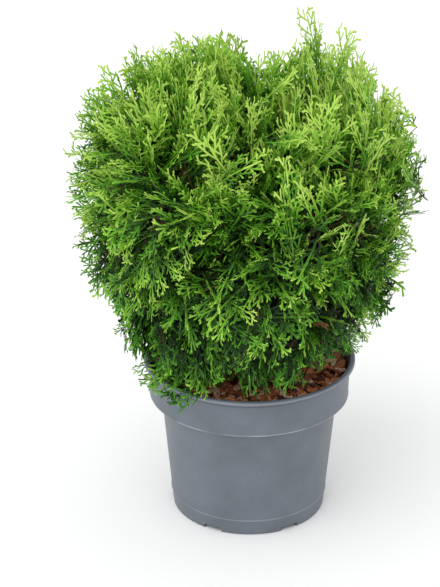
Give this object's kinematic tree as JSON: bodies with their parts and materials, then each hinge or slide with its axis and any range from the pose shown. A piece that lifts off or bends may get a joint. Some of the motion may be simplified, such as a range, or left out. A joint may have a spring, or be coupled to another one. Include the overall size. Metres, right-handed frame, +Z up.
{
  "type": "tiny tim eastern arborvitae",
  "caption": "Dwarf eastern arborvitae with a dense rounded crown of flat scale-leaf sprays on a short stem, in a tapered grey plastic nursery pot topped with bark mulch.",
  "frame": {"origin": "centre of the flat pad under the pot, on the floor", "axes": "+Z up along the pot's axis, -Y to the front, +X to the right seen from the front"},
  "size_m": [0.3013, 0.296, 0.46],
  "materials": {
    "pot": "moulded grey polypropylene, matt",
    "soil": "dark moist peat",
    "mulch": "loose red-brown bark chips",
    "bark": "thin stringy grey-brown bark",
    "leaf": "flat sprays of green scale leaves",
    "new_leaf": "young yellow-green shoots"
  },
  "bodies": {
    "root": {"nursery_pot": "pot", "root_ball": "soil", "bark_mulch": "mulch", "main_stem": "bark", "bough_lower_front_right": "bark", "bough_lower_back_right": "bark", "bough_lower_back_left": "bark", "bough_lower_front_left": "bark", "bough_middle_front": "bark", "bough_middle_right_front": "bark", "bough_middle_right_back": "bark", "bough_middle_back": "bark", "bough_middle_left": "bark", "bough_upper_front_right": "bark", "bough_upper_right": "bark", "bough_upper_back": "bark", "bough_upper_left_back": "bark", "bough_upper_left_front": "bark", "bough_top_front_right": "bark", "bough_top_back_right": "bark", "bough_top_back_left": "bark", "bough_top_front_left": "bark", "foliage_lower_front_right": "leaf", "foliage_lower_back_right": "leaf", "foliage_lower_back_left": "leaf", "foliage_lower_front_left": "leaf", "foliage_middle_front": "leaf", "foliage_middle_right_front": "leaf", "foliage_middle_right_back": "leaf", "foliage_middle_back": "leaf", "foliage_middle_left": "leaf", "foliage_upper_front_right": "leaf", "foliage_upper_right": "leaf", "foliage_upper_back": "leaf", "foliage_upper_left_back": "leaf", "foliage_upper_left_front": "leaf", "foliage_top_front_right": "leaf", "foliage_top_back_right": "leaf", "foliage_top_back_left": "leaf", "foliage_top_front_left": "leaf", "leader_shoot_left": "new_leaf", "leader_shoot_right": "new_leaf"}
  },
  "joints": []
}
